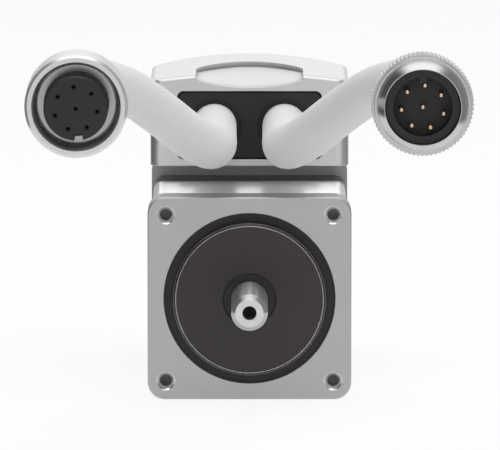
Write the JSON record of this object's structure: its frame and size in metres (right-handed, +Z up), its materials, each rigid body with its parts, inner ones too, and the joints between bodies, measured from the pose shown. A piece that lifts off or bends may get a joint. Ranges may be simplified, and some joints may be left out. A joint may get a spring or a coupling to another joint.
{
  "type": "stepper motor",
  "caption": "Small square-flange stepper motor with a control housing on its rear end and two short leads that end in round multi-pole connectors.",
  "frame": {"origin": "middle of the flange's front face, on the shaft's axis", "axes": "-Y along the shaft, out of the flange; +Z up, towards the control housing; +X to the right when the flange is looked at from the front"},
  "size_m": [0.0585, 0.1146, 0.0541],
  "materials": {
    "machined_aluminium": "fine satin, machined",
    "dark_pilot": "dark satin coating",
    "seal_rubber": "matt",
    "ground_steel": "ground and polished",
    "bearing_steel": "polished",
    "cage_brass": "machined",
    "spring_steel": "bright",
    "lamination_steel": "stacked sheet edges",
    "magnet": "dull nickel",
    "insulator_plastic": "moulded",
    "copper_wire": "enamelled wire",
    "polished_case": "bright, lightly polished",
    "cast_aluminium": "fine blasted",
    "bell_black": "black, glossy",
    "screw_steel": "zinc plated",
    "circuit_board": "solder mask",
    "component_black": "moulded",
    "housing_grey": "satin silver grey",
    "cover_pale": "pale satin",
    "panel_black": "satin",
    "gland_rubber": "matt",
    "cable_jacket": "matt grey jacket",
    "grip_plastic": "moulded on the jacket",
    "nickel_ring": "nickel plated",
    "shield_metal": "plated",
    "carrier_black": "moulded",
    "contact_gold": "gold plated"
  },
  "bodies": {
    "motor": {"front_flange": "machined_aluminium", "pilot_disc": "dark_pilot", "shaft_seal": "seal_rubber", "cover_gasket": "seal_rubber", "front_bearing_outer_ring": "bearing_steel", "rear_bearing_outer_ring": "bearing_steel", "wave_spring": "spring_steel", "stator_core": "lamination_steel", "front_insulator": "insulator_plastic", "rear_insulator": "insulator_plastic", "encoder_posts": "insulator_plastic", "stator_coils": "copper_wire", "stator_case": "polished_case", "rear_end_cap": "cast_aluminium", "rear_cover": "cast_aluminium", "rear_bell": "bell_black", "tie_screws": "screw_steel", "cover_screws": "screw_steel", "encoder_screws": "screw_steel", "housing_screws": "screw_steel", "encoder_board": "circuit_board", "control_board": "circuit_board", "board_components": "component_black", "control_housing": "housing_grey", "top_cover": "cover_pale", "front_panel": "panel_black", "left_cable_gland": "gland_rubber", "right_cable_gland": "gland_rubber", "left_cable": "cable_jacket", "right_cable": "cable_jacket", "left_connector_body": "grip_plastic", "right_connector_body": "grip_plastic", "left_shield_sleeve": "shield_metal", "left_contact_carrier": "carrier_black", "right_contact_carrier": "carrier_black", "left_socket_contacts": "contact_gold", "right_contact_pins": "contact_gold"},
    "rotor": {"shaft": "ground_steel", "front_bearing_inner_ring": "bearing_steel", "rear_bearing_inner_ring": "bearing_steel", "front_spacer": "spring_steel", "rear_spacer": "spring_steel", "rotor_front_stack": "lamination_steel", "rotor_magnet": "magnet", "rotor_rear_stack": "lamination_steel", "encoder_hub": "spring_steel", "encoder_magnet": "magnet"},
    "front_balls": {"front_bearing_balls": "bearing_steel", "front_bearing_cage": "cage_brass"},
    "rear_balls": {"rear_bearing_balls": "bearing_steel", "rear_bearing_cage": "cage_brass"},
    "left_nut": {"left_coupling_nut": "nickel_ring"},
    "right_ring": {"right_coupling_ring": "nickel_ring"}
  },
  "joints": [
    {"name": "shaft_spin", "type": "hinge", "parent": "motor", "child": "rotor", "pos_m": [0, 0, 0], "axis": [0, -1, 0], "continuous": true},
    {"name": "front_balls_orbit", "type": "hinge", "parent": "motor", "child": "front_balls", "pos_m": [0, 0, 0], "axis": [0, -1, 0], "continuous": true},
    {"name": "rear_balls_orbit", "type": "hinge", "parent": "motor", "child": "rear_balls", "pos_m": [0, 0, 0], "axis": [0, -1, 0], "continuous": true},
    {"name": "left_nut_spin", "type": "hinge", "parent": "motor", "child": "left_nut", "pos_m": [-0.02255, -0.056, 0.0334], "axis": [0, -1, 0], "continuous": true},
    {"name": "right_ring_spin", "type": "hinge", "parent": "motor", "child": "right_ring", "pos_m": [0.02255, -0.056, 0.0334], "axis": [0, -1, 0], "continuous": true}
  ],
  "couplings": [
    {"joint": "front_balls_orbit", "follows": "shaft_spin", "ratio": 0.41667},
    {"joint": "rear_balls_orbit", "follows": "shaft_spin", "ratio": 0.41667}
  ]
}
